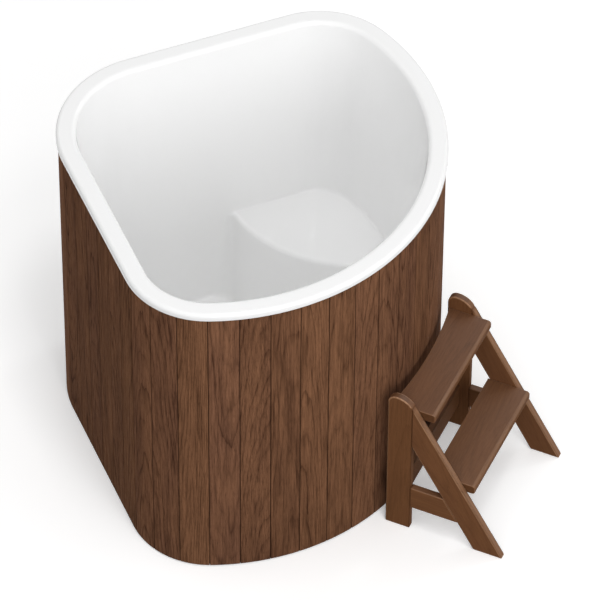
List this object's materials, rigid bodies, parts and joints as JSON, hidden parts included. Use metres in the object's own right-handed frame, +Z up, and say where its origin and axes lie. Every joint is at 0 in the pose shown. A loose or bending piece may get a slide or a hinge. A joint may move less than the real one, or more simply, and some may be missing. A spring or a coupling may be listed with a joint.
{
  "type": "cold plunge tub",
  "caption": "Tall rounded-corner plunge tub: glossy white moulded liner with a corner seat, clad in upright brown boards, with a floor drain and valve and loose wooden steps.",
  "frame": {"origin": "on the ground below the tub, at the centre of the front arc and on the tub's line of symmetry", "axes": "+X along the line of symmetry from the back corner towards the steps, +Z up, +Y towards the corner with the seat"},
  "size_m": [1.4177, 1.2334, 1],
  "materials": {
    "cladding_wood": "brown stained, satin",
    "step_wood": "brown stained, satin",
    "white_acrylic": "high gloss",
    "plywood": "raw",
    "softwood": "raw, sawn",
    "white_plastic": "satin",
    "grey_plastic": "smooth",
    "plated_brass": "nickel plated",
    "lever_steel": "brushed"
  },
  "bodies": {
    "tub": {"liner": "white_acrylic", "stave_01": "cladding_wood", "stave_02": "cladding_wood", "stave_03": "cladding_wood", "stave_04": "cladding_wood", "stave_05": "cladding_wood", "stave_06": "cladding_wood", "stave_07": "cladding_wood", "stave_08": "cladding_wood", "stave_09": "cladding_wood", "stave_10": "cladding_wood", "stave_11": "cladding_wood", "stave_12": "cladding_wood", "stave_13": "cladding_wood", "stave_14": "cladding_wood", "stave_15": "cladding_wood", "stave_16": "cladding_wood", "stave_17": "cladding_wood", "stave_18": "cladding_wood", "stave_19": "cladding_wood", "stave_20": "cladding_wood", "stave_21": "cladding_wood", "stave_22": "cladding_wood", "stave_23": "cladding_wood", "stave_24": "cladding_wood", "stave_25": "cladding_wood", "stave_26": "cladding_wood", "stave_27": "cladding_wood", "stave_28": "cladding_wood", "stave_29": "cladding_wood", "stave_30": "cladding_wood", "stave_31": "cladding_wood", "stave_32": "cladding_wood", "stave_33": "cladding_wood", "stave_34": "cladding_wood", "stave_35": "cladding_wood", "stave_36": "cladding_wood", "stave_37": "cladding_wood", "stave_38": "cladding_wood", "stave_39": "cladding_wood", "stave_40": "cladding_wood", "stave_41": "cladding_wood", "upper_former": "plywood", "base_deck": "plywood", "bearer_front": "softwood", "bearer_middle": "softwood", "bearer_back": "softwood", "drain_body": "white_plastic", "drain_pipe": "grey_plastic", "valve_body": "plated_brass"},
    "valve_lever": {"valve_lever": "lever_steel"},
    "steps": {"post_left": "step_wood", "post_right": "step_wood", "stringer_left": "step_wood", "stringer_right": "step_wood", "side_rail_left": "step_wood", "side_rail_right": "step_wood", "upper_tread": "step_wood", "lower_tread": "step_wood", "rear_stretcher": "step_wood"}
  },
  "joints": [
    {"name": "drain_valve", "type": "hinge", "parent": "tub", "child": "valve_lever", "pos_m": [-0.18039, 0.43621, 0.062], "axis": [0, 0, 1], "range_deg": [0, 90]},
    {"name": "steps_slide", "type": "slide", "parent": "tub", "child": "steps", "axis": [0.9998, -0.022, 0], "range_m": [0, 0.3]}
  ]
}
